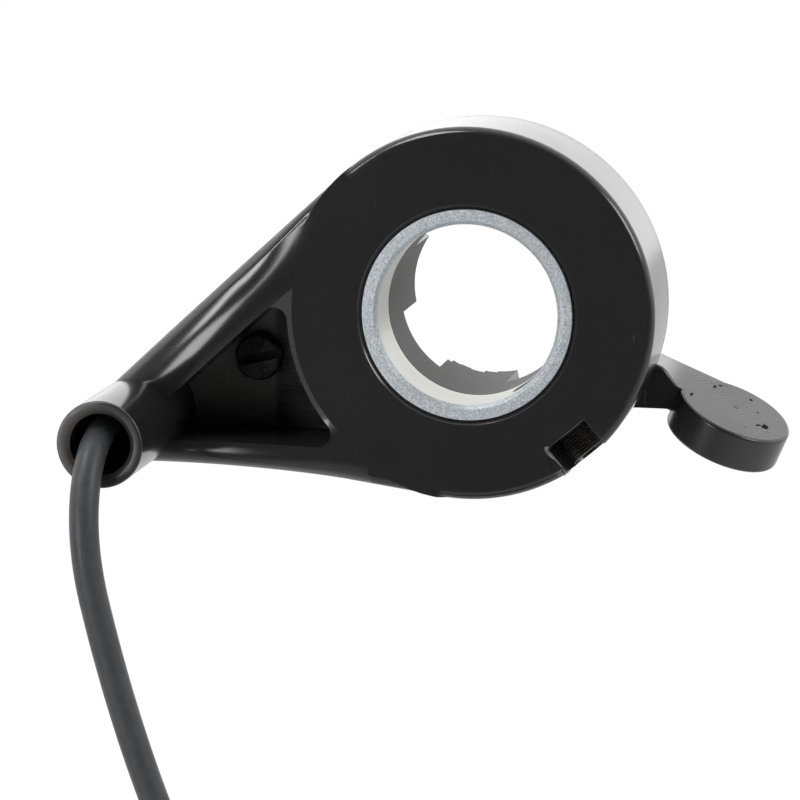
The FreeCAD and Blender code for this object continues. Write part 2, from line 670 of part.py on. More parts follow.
def return_spring():
    """A torsion spring of round wire. One leg hooks into the cover, the other into the lever."""
    count = round(SPRING_TURNS * SPRING_ARCS_A_TURN)
    step = SPRING_TURNS / count
    arcs = []
    for index in range(count):
        start = index * step
        arcs.append(arc(spring_point(start), spring_point(start + step / 2), spring_point(start + step)))
    path = Part.Wire(arcs)
    first = arcs[0].tangentAt(arcs[0].FirstParameter)
    ring = Part.Wire(Part.makeCircle(SPRING_WIRE_R, spring_point(0), first))
    coil = path.makePipeShell([ring], True, False)
    near = spring_leg_point(0)
    far = spring_leg_point(1)
    near_leg = rod(SPRING_WIRE_R, COVER_BACK_Y - SPRING_LEG_IN, near.y, near.x, near.z)
    far_leg = rod(SPRING_WIRE_R, far.y, LEVER_Y + SPRING_GROOVE_DEPTH + SPRING_LEG_IN, far.x, far.z)
    return coil.fuse(near_leg).fuse(far_leg)


def thrust_washer():
    y0 = COVER_BACK_Y + FLAT_GAP
    return pipe(WASHER_OUTER_R, HUB_R + LEVER_RUNNING_GAP, y0, y0 + WASHER_THICKNESS)


def keeper_washer():
    y0 = LEVER_BACK_Y + FLAT_GAP
    return pipe(KEEPER_OUTER_R, HUB_R + LEVER_RUNNING_GAP, y0, y0 + KEEPER_THICKNESS)


def cable_grommet():
    """A rubber plug that grips the cable in the tube, with a waist round its middle."""
    y0 = FACE_Y + GROMMET_DEPTH[0]
    y1 = FACE_Y + GROMMET_DEPTH[1]
    wide = rod(TUBE_BORE_R - GROMMET_GAP, y0, y1, TUBE_X, TUBE_Z)
    neck = pipe(TUBE_BORE_R + 1, GROMMET_NECK_R, y0 + GROMMET_NECK[0], y0 + GROMMET_NECK[1], TUBE_X, TUBE_Z)
    return wide.cut(neck)


def cable_points():
    """The cable's hand-chosen route, from the grommet out of the tube and down to the coil."""
    y = FACE_Y
    start_y = y + GROMMET_DEPTH[0]
    route = [
        Vec(TUBE_X - 0.2, start_y, TUBE_Z + CABLE_LIFT),
        Vec(TUBE_X - 0.2, y - 2.9, TUBE_Z + CABLE_LIFT),
        Vec(-43.1, y - 9.0, -13.05),
        Vec(-43.6, y - 15.2, -15.6),
        Vec(-43.8, y - 18.5, -22.0),
        Vec(-43.3, y - 18.9, -29.4),
        Vec(-41.6, y - 18.7, -37.2),
        Vec(-39.5, y - 18.4, -45.4),
        Vec(-37.0, y - 18.2, -53.6),
        Vec(-34.2, y - 18.1, -61.3),
        Vec(-31.2, y - 18.1, -68.4),
        Vec(-27.9, y - 16.6, -76.0),
        Vec(-24.3, y - 14.7, -83.9),
        Vec(-20.8, y - 13.1, -91.8),
    ]
    back_row = Vec(*COIL_CENTRE).add(Vec(0, COIL_HALF_WIDTH, 0))
    return route + [back_row.add(polar(COIL_OUTER_R, COIL_ENTRY_ANGLE))]


def ring_section(grow):
    """The outline of the coil's turns, seen along the coil's round, with the coil's middle at the origin."""
    depth = 2 * (COIL_HALF_DEPTH + CABLE_R + grow)
    width = 2 * (COIL_HALF_WIDTH + CABLE_R + grow)
    inner = COIL_MEAN_R - depth / 2
    return inner, inner + depth, width


def cable_coil(grow=0.0):
    """The outer shape of the tied coil, or the same shape grown all round."""
    inner, outer, width = ring_section(grow)
    x, y, z = COIL_CENTRE
    ring = pipe(outer, inner, y - width / 2, y + width / 2, x, z)
    rims = [edge for edge in ring.Edges if edge.Curve.TypeId == "Part::GeomCircle"]
    return ring.makeFillet(COIL_CORNER_R, rims)


def cable():
    """The cable from the grommet down to the coil, where it goes in among the turns."""
    return swept(cable_points(), CABLE_R, "cable").cut(cable_coil(CORD_END_GAP))


def coil_tie():
    """A hook-and-loop tie round the bundle."""
    sleeves = []
    for grow in (TIE_GAP, TIE_GAP + TIE_THICKNESS):
        inner, outer, width = ring_section(grow)
        sleeve = block((outer - inner, width, TIE_WIDTH), polar(COIL_MEAN_R, TIE_ANGLE), TIE_ANGLE)
        long_edges = [edge for edge in sleeve.Edges if abs(edge.Length - TIE_WIDTH) < 1e-6]
        sleeves.append(sleeve.makeFillet(COIL_CORNER_R + grow, long_edges))
    tie = sleeves[1].cut(sleeves[0])
    tie.translate(Vec(*COIL_CENTRE))
    return tie


def connector_top():
    return Vec(*COIL_CENTRE).add(Vec(-COIL_OUTER_R, -COIL_HALF_WIDTH, -TAIL_DROP))


def cable_end():
    """The short free end between the coil and the connector."""
    stub = Part.makeCylinder(CABLE_R, TAIL_DROP, connector_top(), Vec(0, 0, 1))
    return stub.cut(cable_coil(CORD_END_GAP))


def connector_body():
    """The moulded strain relief and grip of the connector, with the seat for its front sleeve."""
    top = connector_top()
    down = Vec(0, 0, -1)
    taper = Part.makeCone(CONNECTOR_NECK_R, CONNECTOR_R, CONNECTOR_TAPER, top, down)
    barrel_top = top.add(Vec(0, 0, -CONNECTOR_TAPER))
    barrel_length = CONNECTOR_BODY_LENGTH - CONNECTOR_TAPER
    return taper.fuse(Part.makeCylinder(CONNECTOR_R, barrel_length, barrel_top, down)).removeSplitter()


def connector_face(depth):
    return connector_top().add(Vec(0, 0, -depth))


def connector_shell():
    down = Vec(0, 0, -1)
    start = connector_face(CONNECTOR_BODY_LENGTH)
    outer = Part.makeCylinder(CONNECTOR_SHELL_R, CONNECTOR_SHELL_LENGTH, start, down)
    inner_r = CONNECTOR_SHELL_R - CONNECTOR_SHELL_WALL
    return outer.cut(Part.makeCylinder(inner_r, CONNECTOR_SHELL_LENGTH + 1, start, down))


def connector_insert():
    inner_r = CONNECTOR_SHELL_R - CONNECTOR_SHELL_WALL - CONNECTOR_FIT
    start = connector_face(CONNECTOR_BODY_LENGTH)
    return Part.makeCylinder(inner_r, CONNECTOR_INSERT_LENGTH, start, Vec(0, 0, -1))


def connector_pins():
    pins = []
    start = connector_face(CONNECTOR_BODY_LENGTH + CONNECTOR_INSERT_LENGTH)
    for index in range(PIN_COUNT):
        turn = math.radians(90 + index * 360 / PIN_COUNT)
        place = start.add(Vec(PIN_CIRCLE_R * math.cos(turn), PIN_CIRCLE_R * math.sin(turn), 0))
        tip = place.add(Vec(0, 0, -PIN_LENGTH))
        point = Part.makeCone(PIN_R, PIN_R / 2, PIN_R / 2, tip, Vec(0, 0, -1))
        pins.append(Part.makeCylinder(PIN_R, PIN_LENGTH, place, Vec(0, 0, -1)).fuse(point))
    return Part.makeCompound(pins)


def pieces():
    yield "housing_shell", housing_shell()
    yield "rear_cover", rear_cover()
    yield "clamp_ring", clamp_ring()
    yield "clamp_screw", clamp_screw()
    yield "cover_screw", cover_screw()
    yield "sensor_board", sensor_board()
    yield "hall_sensor", hall_sensor()
    for index, name in enumerate(("signal_wire", "supply_wire", "ground_wire")):
        yield name, swept(wire_points(index), WIRE_R, name)
    yield "cable_grommet", cable_grommet()
    yield "thrust_washer", thrust_washer()
    yield "keeper_washer", keeper_washer()
    yield "return_spring", return_spring()
    yield "lever", lever()
    for index in range(len(MAGNET_ANGLES)):
        yield "magnet_%d" % (index + 1), magnet(index)
        yield "magnet_cap_%d" % (index + 1), magnet_cap(index)
    yield "cable", cable()
    yield "cable_coil", cable_coil()
    yield "coil_tie", coil_tie()
    yield "cable_end", cable_end()
    yield "connector_body", connector_body()
    yield "connector_shell", connector_shell()
    yield "connector_insert", connector_insert()
    yield "connector_pins", connector_pins()


os.makedirs("parts", exist_ok=True)
for name, shape in pieces():
    solids = shape.Solids
    print("%-18s solids %d valid %s volume %.1f" % (name, len(solids), shape.isValid(), shape.Volume))
    shape.exportStep("parts/%s.step" % name)
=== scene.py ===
import bmesh
import bpy
import math
from mathutils import Matrix, Vector


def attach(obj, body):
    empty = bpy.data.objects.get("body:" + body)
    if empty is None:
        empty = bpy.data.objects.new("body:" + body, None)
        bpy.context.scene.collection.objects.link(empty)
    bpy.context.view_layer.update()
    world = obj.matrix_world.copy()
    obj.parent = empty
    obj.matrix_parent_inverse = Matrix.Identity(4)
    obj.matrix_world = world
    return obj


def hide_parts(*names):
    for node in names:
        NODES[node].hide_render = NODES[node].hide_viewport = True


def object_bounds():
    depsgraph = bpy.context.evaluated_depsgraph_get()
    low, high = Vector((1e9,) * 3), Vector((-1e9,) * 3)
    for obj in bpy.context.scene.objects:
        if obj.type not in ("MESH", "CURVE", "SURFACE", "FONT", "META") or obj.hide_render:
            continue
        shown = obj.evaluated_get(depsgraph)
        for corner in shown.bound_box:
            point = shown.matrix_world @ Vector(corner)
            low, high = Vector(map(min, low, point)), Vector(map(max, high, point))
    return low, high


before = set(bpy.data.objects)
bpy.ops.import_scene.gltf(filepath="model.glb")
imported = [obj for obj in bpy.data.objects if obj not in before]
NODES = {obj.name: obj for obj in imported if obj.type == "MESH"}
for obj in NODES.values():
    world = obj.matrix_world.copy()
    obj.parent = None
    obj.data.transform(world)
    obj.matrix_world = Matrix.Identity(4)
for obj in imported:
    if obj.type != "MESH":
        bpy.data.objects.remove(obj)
cad_low, cad_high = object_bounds()

# Camera
# A long lens a little above and to the right of the bore's axis, as the part was photographed.
SCENE = bpy.context.scene
CAMERA_PLACE = (0.07548, -0.45414, 0.06882)
CAMERA_TILT = 80.14
CAMERA_TURN = 10.54
camera_data = bpy.data.cameras.new("camera")
camera_data.sensor_width = 36.0
camera_data.lens = 169.65
camera_data.clip_start = 0.01
camera_data.clip_end = 20.0
camera = bpy.data.objects.new("camera", camera_data)
camera.location = CAMERA_PLACE
camera.rotation_euler = (math.radians(CAMERA_TILT), 0.0, math.radians(CAMERA_TURN))
SCENE.collection.objects.link(camera)
SCENE.camera = camera
SCENE.view_settings.view_transform = "Standard"


# Surroundings
# White behind and beside the part, dark behind the camera: what the gloss of the black plastic shows.
def add_node(tree, kind, **values):
    """A shader node, with its own settings and then its input sockets set by name."""
    node = tree.nodes.new(kind)
    for name, value in values.items():
        if hasattr(node, name):
            setattr(node, name, value)
        else:
            node.inputs[name.replace("_", " ")].default_value = value
    return node


FRONT_LEVEL = 0.022
BACK_LEVEL = 1.7
FRONT_END = -0.80
BACK_END = 0.35
world = bpy.data.worlds.new("surroundings")
SCENE.world = world
world.use_nodes = True
tree = world.node_tree
background = tree.nodes["Background"]
coordinates = add_node(tree, "ShaderNodeTexCoord")
split = add_node(tree, "ShaderNodeSeparateXYZ")
tree.links.new(coordinates.outputs["Generated"], split.inputs[0])
depth = add_node(tree, "ShaderNodeMapRange", interpolation_type="SMOOTHSTEP")
depth.inputs["From Min"].default_value = FRONT_END
depth.inputs["From Max"].default_value = BACK_END
depth.inputs["To Min"].default_value = FRONT_LEVEL
depth.inputs["To Max"].default_value = BACK_LEVEL
tree.links.new(split.outputs["Y"], depth.inputs["Value"])
tree.links.new(depth.outputs["Result"], background.inputs["Color"])
seen = add_node(tree, "ShaderNodeLightPath")
white = add_node(tree, "ShaderNodeBackground")
white.inputs["Color"].default_value = (1, 1, 1, 1)
either = add_node(tree, "ShaderNodeMixShader")
tree.links.new(seen.outputs["Is Camera Ray"], either.inputs[0])
tree.links.new(background.outputs[0], either.inputs[1])
tree.links.new(white.outputs[0], either.inputs[2])
tree.links.new(either.outputs[0], tree.nodes["World Output"].inputs["Surface"])

# Floor
# A pale sheet below the hanging coil. It reads white to the camera and dark in front to the gloss.
FLOOR_HALF = 4.0
FLOOR_DROP = 0.012
FLOOR_LEVEL = 0.9
FLOOR_CAMERA_SHARE = 0.97
FLOOR_DARK_Y = -0.45
FLOOR_LIGHT_Y = -0.02
floor_mesh = bpy.data.meshes.new("floor")
bm = bmesh.new()
bmesh.ops.create_grid(bm, x_segments=1, y_segments=1, size=FLOOR_HALF)
bmesh.ops.translate(bm, verts=bm.verts, vec=(0, 0, cad_low.z - FLOOR_DROP))
bm.to_mesh(floor_mesh)
bm.free()
floor = bpy.data.objects.new("floor", floor_mesh)
SCENE.collection.objects.link(floor)
paper = bpy.data.materials.new("pale_paper")
paper.use_nodes = True
tree = paper.node_tree
matt = tree.nodes["Principled BSDF"]
matt.inputs["Base Color"].default_value = (0.86, 0.86, 0.86, 1)
matt.inputs["Roughness"].default_value = 0.9
matt.inputs["Specular IOR Level"].default_value = 0.1
glow = add_node(tree, "ShaderNodeEmission", Color=(1, 1, 1, 1))
to_camera = add_node(tree, "ShaderNodeMixShader")
seen = add_node(tree, "ShaderNodeLightPath")
camera_share = add_node(tree, "ShaderNodeMath", operation="MULTIPLY")
camera_share.inputs[1].default_value = FLOOR_CAMERA_SHARE
tree.links.new(seen.outputs["Is Camera Ray"], camera_share.inputs[0])
tree.links.new(camera_share.outputs[0], to_camera.inputs[0])
coordinates = add_node(tree, "ShaderNodeTexCoord")
split = add_node(tree, "ShaderNodeSeparateXYZ")
tree.links.new(coordinates.outputs["Object"], split.inputs[0])
depth = add_node(tree, "ShaderNodeMapRange", interpolation_type="SMOOTHSTEP")
depth.inputs["From Min"].default_value = FLOOR_DARK_Y
depth.inputs["From Max"].default_value = FLOOR_LIGHT_Y
depth.inputs["To Min"].default_value = FRONT_LEVEL
depth.inputs["To Max"].default_value = FLOOR_LEVEL
tree.links.new(split.outputs["Y"], depth.inputs["Value"])
mirrored = add_node(tree, "ShaderNodeEmission")
tree.links.new(depth.outputs["Result"], mirrored.inputs["Color"])
to_gloss = add_node(tree, "ShaderNodeMixShader")
tree.links.new(seen.outputs["Is Glossy Ray"], to_gloss.inputs[0])
tree.links.new(matt.outputs[0], to_gloss.inputs[1])
tree.links.new(mirrored.outputs[0], to_gloss.inputs[2])
tree.links.new(to_gloss.outputs[0], to_camera.inputs[1])
tree.links.new(glow.outputs[0], to_camera.inputs[2])
tree.links.new(to_camera.outputs[0], tree.nodes["Material Output"].inputs["Surface"])
floor_mesh.materials.append(paper)


# Lamps
# Four soft boxes: a large one high on the left, a tall narrow one on the left, a weaker one on the
# right, and a weak one low on the left.
def soft_box(name, place, size, watts, height=None):
    """An area lamp that looks at the part's middle."""
    data = bpy.data.lights.new(name, "AREA")
    data.shape = "RECTANGLE"
    data.size = size
    data.size_y = height or size
    data.energy = watts
    lamp = bpy.data.objects.new(name, data)
    lamp.location = place
    lamp.rotation_euler = (-Vector(place)).to_track_quat("-Z", "Y").to_euler()
    SCENE.collection.objects.link(lamp)


soft_box("key_lamp", (-0.40, -0.42, 0.85), 0.40, 5.0)
soft_box("left_lamp", (-0.56, -0.476, 0.316), 0.10, 1.6, 0.36)
soft_box("right_lamp", (0.75, -0.30, 0.40), 0.35, 3.0)
soft_box("low_lamp", (-0.42, -0.62, -0.05), 0.22, 1.5)


# Cable
# Round PVC jacket of 3.6 mm over three cores, one length from the grommet to the connector. It leaves
# the tube towards the rider, hangs down past the lower edge of the view, and the rest is wound up.
MM = 0.001
CABLE_DIAMETER = 3.6 * MM
ROUTE = [
    (-42.9, -0.7, -13.1),
    (-42.9, -7.0, -13.1),
    (-43.1, -13.1, -13.05),
    (-43.6, -19.3, -15.6),
    (-43.8, -22.6, -22.0),
    (-43.3, -23.0, -29.4),
    (-41.6, -22.8, -37.2),
    (-39.5, -22.5, -45.4),
    (-37.0, -22.3, -53.6),
    (-34.2, -22.2, -61.3),
    (-31.2, -22.2, -68.4),
    (-27.9, -20.7, -76.0),
    (-24.3, -18.8, -83.9),
    (-20.8, -17.2, -91.8),
]
COIL_MIDDLE = Vector((5.8, -22.2, -90.0))
COIL_PITCH = 3.7
COIL_ROWS = 4
COIL_TURNS_A_ROW = 2.75
COIL_MEAN_RADIUS = 20.0
COIL_START_ANGLE = 203.9
COIL_END_ANGLE = 180.0
POINTS_A_TURN = 16
TAIL_DROP = 36.0


def coil_points():
    """The wound turns, row by row: in, across to the next row, out, and so on."""
    half_depth = COIL_PITCH * COIL_TURNS_A_ROW / 2
    wound = 360 * COIL_TURNS_A_ROW * COIL_ROWS
    crossings = COIL_ROWS - 1
    spare = (COIL_END_ANGLE - COIL_START_ANGLE - wound) % 360
    crossing = spare / crossings
    total = wound + spare
    count = round(total / 360 * POINTS_A_TURN)
    reach = 1 / math.cos(math.pi / POINTS_A_TURN)
    points = []
    for index in range(count + 1):
        turned = total * index / count
        row = int(turned // (wound / COIL_ROWS + crossing))
        inside = turned - row * (wound / COIL_ROWS + crossing)
        share = min(inside / (wound / COIL_ROWS), 1.0)
        across = max(inside - wound / COIL_ROWS, 0.0) / crossing
        inward = 1 - 2 * share if row % 2 == 0 else 2 * share - 1
        radius = (COIL_MEAN_RADIUS + half_depth * inward) * reach
        side = COIL_PITCH * ((COIL_ROWS - 1) / 2 - row - across)
        angle = math.radians(COIL_START_ANGLE + turned)
        points.append(COIL_MIDDLE + Vector((radius * math.cos(angle), side, radius * math.sin(angle))))
    return points


tail_x = COIL_MIDDLE.x - COIL_MEAN_RADIUS - COIL_PITCH * COIL_TURNS_A_ROW / 2
tail_y = COIL_MIDDLE.y - COIL_PITCH * (COIL_ROWS - 1) / 2
tail = [Vector((tail_x, tail_y, COIL_MIDDLE.z - TAIL_DROP * share)) for share in (0.25, 0.5, 0.75, 1.0)]
line = [Vector(point) for point in ROUTE] + coil_points() + tail
cable_curve = bpy.data.curves.new("cable_line", "CURVE")
cable_curve.dimensions = "3D"
spline = cable_curve.splines.new("NURBS")
spline.points.add(len(line) - 1)
for control, point in zip(spline.points, line):
    control.co = (point.x * MM, point.y * MM, point.z * MM, 1.0)
    control.radius = CABLE_DIAMETER / 2
spline.order_u = 3
spline.use_endpoint_u = True
spline.resolution_u = 6
cable_curve.bevel_depth = 1.0
cable_curve.bevel_resolution = 6
cable_curve.use_fill_caps = True
cable_line = bpy.data.objects.new("cable_line", cable_curve)
SCENE.collection.objects.link(cable_line)
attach(cable_line, "housing")
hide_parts("cable", "cable_coil", "cable_end")


def new_material(name, colour, roughness, metallic=0.0):
    """A principled material and its shader node."""
    material = bpy.data.materials.new(name)
    material.use_nodes = True
    shader = material.node_tree.nodes["Principled BSDF"]
    shader.inputs["Base Color"].default_value = (*colour, 1)
    shader.inputs["Roughness"].default_value = roughness
    shader.inputs["Metallic"].default_value = metallic
    return material, shader


def grain(material, scale, stretch=(1, 1, 1), detail=3.0, turn=(0, 0, 0)):
    """Noise in the piece's own metres, from 0 to 1."""
    tree = material.node_tree
    coordinates = add_node(tree, "ShaderNodeTexCoord")
    mapping = add_node(tree, "ShaderNodeMapping")
    mapping.inputs["Scale"].default_value = stretch
    mapping.inputs["Rotation"].default_value = [math.radians(angle) for angle in turn]
    tree.links.new(coordinates.outputs["Object"], mapping.inputs["Vector"])
    noise = add_node(tree, "ShaderNodeTexNoise", Scale=scale, Detail=detail)
    tree.links.new(mapping.outputs["Vector"], noise.inputs["Vector"])
    return noise.outputs["Fac"]


def ramp(material, factor, low, high, first, last):
    """The factor spread from low to high between two grey levels or colours."""
    tree = material.node_tree
    node = add_node(tree, "ShaderNodeValToRGB")
    node.color_ramp.elements[0].position = low
    node.color_ramp.elements[1].position = high
    for element, value in zip(node.color_ramp.elements, (first, last)):
        element.color = (*value, 1) if hasattr(value, "__len__") else (value, value, value, 1)
    tree.links.new(factor, node.inputs["Fac"])
    return node.outputs["Color"]


def raise_surface(material, shader, height, strength, distance=0.0002):
    """Bump from a height socket."""
    tree = material.node_tree
    bump = add_node(tree, "ShaderNodeBump", Strength=strength, Distance=distance)
    tree.links.new(height, bump.inputs["Height"])
    tree.links.new(bump.outputs["Normal"], shader.inputs["Normal"])
    return bump


jacket, shader = new_material("cable_jacket", (0.034, 0.036, 0.039), 0.5)
shader.inputs["Specular IOR Level"].default_value = 0.28
link = jacket.node_tree.links.new
tone = ramp(jacket, grain(jacket, 900), 0.35, 0.7, (0.031, 0.033, 0.036), (0.038, 0.040, 0.043))
link(tone, shader.inputs["Base Color"])
link(ramp(jacket, grain(jacket, 350), 0.3, 0.7, 0.36, 0.50), shader.inputs["Roughness"])
raise_surface(jacket, shader, grain(jacket, 2600, detail=2), 0.12)
cable_curve.materials.append(jacket)


# Housing
# One glossy black nylon moulding: the round body, the tail with its pocket, the cable tube, the hub
# and its four snap tabs. The pocket's floor has the mould's rough texture.
SHARP_ANGLE = math.radians(28)
MERGE_DISTANCE = 2e-6


def smooth_copy(node, name, body="housing", reshape=None):
    """A merged, smoothly shaded copy of a CAD node, which stands for it."""
    mesh = NODES[node].data.copy()
    mesh.materials.clear()
    bm = bmesh.new()
    bm.from_mesh(mesh)
    bmesh.ops.remove_doubles(bm, verts=bm.verts, dist=MERGE_DISTANCE)
    if reshape:
        reshape(bm)
    for face in bm.faces:
        face.smooth = True
    for edge in bm.edges:
        if edge.is_manifold and edge.calc_face_angle() > SHARP_ANGLE:
            edge.smooth = False
    bm.to_mesh(mesh)
    bm.free()
    for label in ("custom_normal", "normal"):
        if label in mesh.attributes:
            mesh.attributes.remove(mesh.attributes[label])
    piece = bpy.data.objects.new(name, mesh)
    SCENE.collection.objects.link(piece)
    weighted = piece.modifiers.new("weighted_normals", "WEIGHTED_NORMAL")
    weighted.keep_sharp = True
    weighted.weight = 60
    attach(piece, body)
    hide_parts(node)
    return piece


def length_from(material, point, axis):
    """How far a point of the surface lies from an axis, in metres."""
    tree = material.node_tree
    coordinates = add_node(tree, "ShaderNodeTexCoord")
    away = add_node(tree, "ShaderNodeVectorMath", operation="SUBTRACT")
    away.inputs[1].default_value = point
    tree.links.new(coordinates.outputs["Object"], away.inputs[0])
    across = add_node(tree, "ShaderNodeVectorMath", operation="CROSS_PRODUCT")
    across.inputs[1].default_value = axis
    tree.links.new(away.outputs[0], across.inputs[0])
    length = add_node(tree, "ShaderNodeVectorMath", operation="LENGTH")
    tree.links.new(across.outputs[0], length.inputs[0])
    return length.outputs["Value"]


def arithmetic(material, operation, *values):
    """One math node. A value is a number or another node's output."""
    node = add_node(material.node_tree, "ShaderNodeMath", operation=operation)
    for index, value in enumerate(values):
        if hasattr(value, "is_linked"):
            material.node_tree.links.new(value, node.inputs[index])
        else:
            node.inputs[index].default_value = value
    return node.outputs[0]


def moulded(name, colour, gloss, scratch_turn):
    """Glossy moulded plastic: hair scratches and a few specks of dust. Its bump is given back."""
    material, shader = new_material(name, colour, gloss)
    tree = material.node_tree
    link = tree.links.new
    coordinates = add_node(tree, "ShaderNodeTexCoord")
    mapping = add_node(tree, "ShaderNodeMapping")
    mapping.inputs["Rotation"].default_value = [math.radians(angle) for angle in scratch_turn]
    mapping.inputs["Scale"].default_value = (1.0, 1.0, 0.22)
    link(coordinates.outputs["Object"], mapping.inputs["Vector"])
    cells = add_node(tree, "ShaderNodeTexVoronoi", feature="DISTANCE_TO_EDGE", Scale=150.0)
    link(mapping.outputs["Vector"], cells.inputs["Vector"])
    lines = ramp(material, cells.outputs["Distance"], 0.002, 0.008, 1.0, 0.0)
    broken = ramp(material, grain(material, 190, detail=2), 0.66, 0.72, 0.0, 0.35)
    scratch = arithmetic(material, "MULTIPLY", lines, broken)
    dots = add_node(tree, "ShaderNodeTexVoronoi", feature="F1", Scale=420.0)
    link(coordinates.outputs["Object"], dots.inputs["Vector"])
    near = ramp(material, dots.outputs["Distance"], 0.02, 0.05, 0.8, 0.0)
    few = ramp(material, dots.outputs["Color"], 0.86, 0.88, 0.0, 1.0)
    speck = arithmetic(material, "MULTIPLY", near, few)
    marks = add_node(tree, "ShaderNodeMath", operation="ADD", use_clamp=True)
    link(scratch, marks.inputs[0])
    link(speck, marks.inputs[1])
    tint = add_node(tree, "ShaderNodeMix", data_type="RGBA")
    tint.inputs["A"].default_value = (*colour, 1)
    tint.inputs["B"].default_value = (0.10, 0.10, 0.10, 1)
    link(marks.outputs[0], tint.inputs["Factor"])
    link(tint.outputs["Result"], shader.inputs["Base Color"])
    haze = ramp(material, grain(material, 60, detail=4), 0.35, 0.75, gloss - 0.03, gloss + 0.05)
    dull = add_node(tree, "ShaderNodeMix", data_type="FLOAT")
    dull.inputs["B"].default_value = 0.6
    link(marks.outputs[0], dull.inputs["Factor"])
    link(haze, dull.inputs["A"])
    link(dull.outputs["Result"], shader.inputs["Roughness"])
    bump = raise_surface(material, shader, grain(material, 260, detail=2), 0.03)
    return material, bump


FACE = -4.1 * MM
MOUTH = -18.7 * MM
TUBE_MIDDLE = Vector((-42.7, 0, -14.9)) * MM
TUBE_BORE_LIMIT = 4.5 * MM
SLOT_ANGLE = math.radians(-49.5)
SLOT_WAY = Vector((math.cos(SLOT_ANGLE), 0, math.sin(SLOT_ANGLE)))
SLOT_ACROSS = Vector((-math.sin(SLOT_ANGLE), 0, math.cos(SLOT_ANGLE)))
SLOT_START = 18.9 * MM
SLOT_LOWER_EDGE = -2.85
SLOT_UPPER_EDGE = -2.6
CHIPPED_BEVEL = 0.42 * MM
SLOT_BEVEL = 0.20 * MM
MOUTH_BEVEL = 0.15 * MM
AT_FACE = 0.02 * MM
TAIL_ANGLE = math.radians(-160.8)
TAIL_WAY = Vector((math.cos(TAIL_ANGLE), 0, math.sin(TAIL_ANGLE)))
CROWN_START = 26 * MM
CROWN_RADIUS = 85 * MM
RAIL_DEPTH = 3 * MM
RAIL_REACH = 21.7 * MM
RAIL_FIRST_ANGLE = 131
RAIL_LAST_ANGLE = 262


def level_rails(bm):
    """Bring the rails flush with the body's face, so that face and rails run into each other."""
    for vert in bm.verts:
        along = vert.co.dot(TAIL_WAY)
        reach = math.hypot(vert.co.x, vert.co.z)
        angle = math.degrees(math.atan2(vert.co.z, vert.co.x)) % 360
        at_rail = reach > RAIL_REACH and RAIL_FIRST_ANGLE < angle < RAIL_LAST_ANGLE
        if at_rail and vert.co.y < FACE + RAIL_DEPTH and along < CROWN_START:
            dip = CROWN_RADIUS - math.sqrt(CROWN_RADIUS ** 2 - (CROWN_START - along) ** 2)
            vert.co.y -= max(min(dip, vert.co.y - FACE), 0)


def sharp_edges(bm, test, least=1.2):
    """The edges whose two ends pass a test and whose faces meet at an angle."""
    return [
        edge for edge in bm.edges
        if edge.is_manifold and edge.calc_face_angle(0) > least and all(test(vert.co) for vert in edge.verts)
    ]


def at_slot(point, low=-3.0, high=3.0):
    """Whether a point of the face lies at the slot's mouth, between two places across it."""
    across = point.dot(SLOT_ACROSS) / MM
    return abs(point.y - FACE) < AT_FACE and point.dot(SLOT_WAY) > SLOT_START and low < across < high


def at_mouth(point):
    """Whether a point lies on the inner lip of the tube's mouth."""
    from_tube = math.hypot(point.x - TUBE_MIDDLE.x, point.z - TUBE_MIDDLE.z)
    return abs(point.y - MOUTH) < AT_FACE and from_tube < TUBE_BORE_LIMIT


def bevel(bm, edges, width, segments=2):
    """Round off some edges."""
    bmesh.ops.bevel(bm, geom=edges, offset=width, segments=segments, profile=0.5, affect="EDGES", material=-1)


THREAD_TURNS = 12
THREAD_START = 18.1
THREAD_PITCH = 0.39
THREAD_RIDGE = 0.34
THREAD_DEPTH = 0.24 * MM
THREAD_R = 2.50
THREAD_END_R = 2.42
THREAD_NARROWS = 21.9 * MM
THREAD_STEPS = 28


def cut_thread(bm):
    """Half rings with a sharp crest, one after the other down the radial hole."""
    turn = Matrix((SLOT_WAY, Vector((0, 1, 0)), SLOT_ACROSS)).transposed()
    for index in range(THREAD_TURNS):
        reach = (THREAD_START + THREAD_PITCH * index) * MM
        wide = (THREAD_R if reach < THREAD_NARROWS else THREAD_END_R) * MM
        crest = [
            bm.verts.new(turn @ Vector((reach + out * MM, 0, height)))
            for out, height in ((0, wide), (THREAD_RIDGE / 2, wide - THREAD_DEPTH), (THREAD_RIDGE, wide))
        ]
        edges = [bm.edges.new((crest[0], crest[1])), bm.edges.new((crest[1], crest[2]))]
        bmesh.ops.spin(bm, geom=crest + edges, cent=(0, 0, 0), axis=SLOT_WAY, angle=math.radians(-180),
                       steps=THREAD_STEPS, use_merge=False)


def dress_housing(bm):
    """Level rails, small bevels round the slot and the tube's mouth, and the radial hole's thread."""
    level_rails(bm)
    bevel(bm, sharp_edges(bm, lambda point: at_slot(point, high=SLOT_LOWER_EDGE)), CHIPPED_BEVEL)
    bevel(bm, sharp_edges(bm, lambda point: at_slot(point, low=SLOT_UPPER_EDGE)), SLOT_BEVEL)
    bevel(bm, sharp_edges(bm, at_mouth, 0.5), MOUTH_BEVEL)
    cut_thread(bm)


def add_slot(piece, material):
    """Give a piece one more material and return its number."""
    piece.data.materials.append(material)
    return len(piece.data.materials) - 1


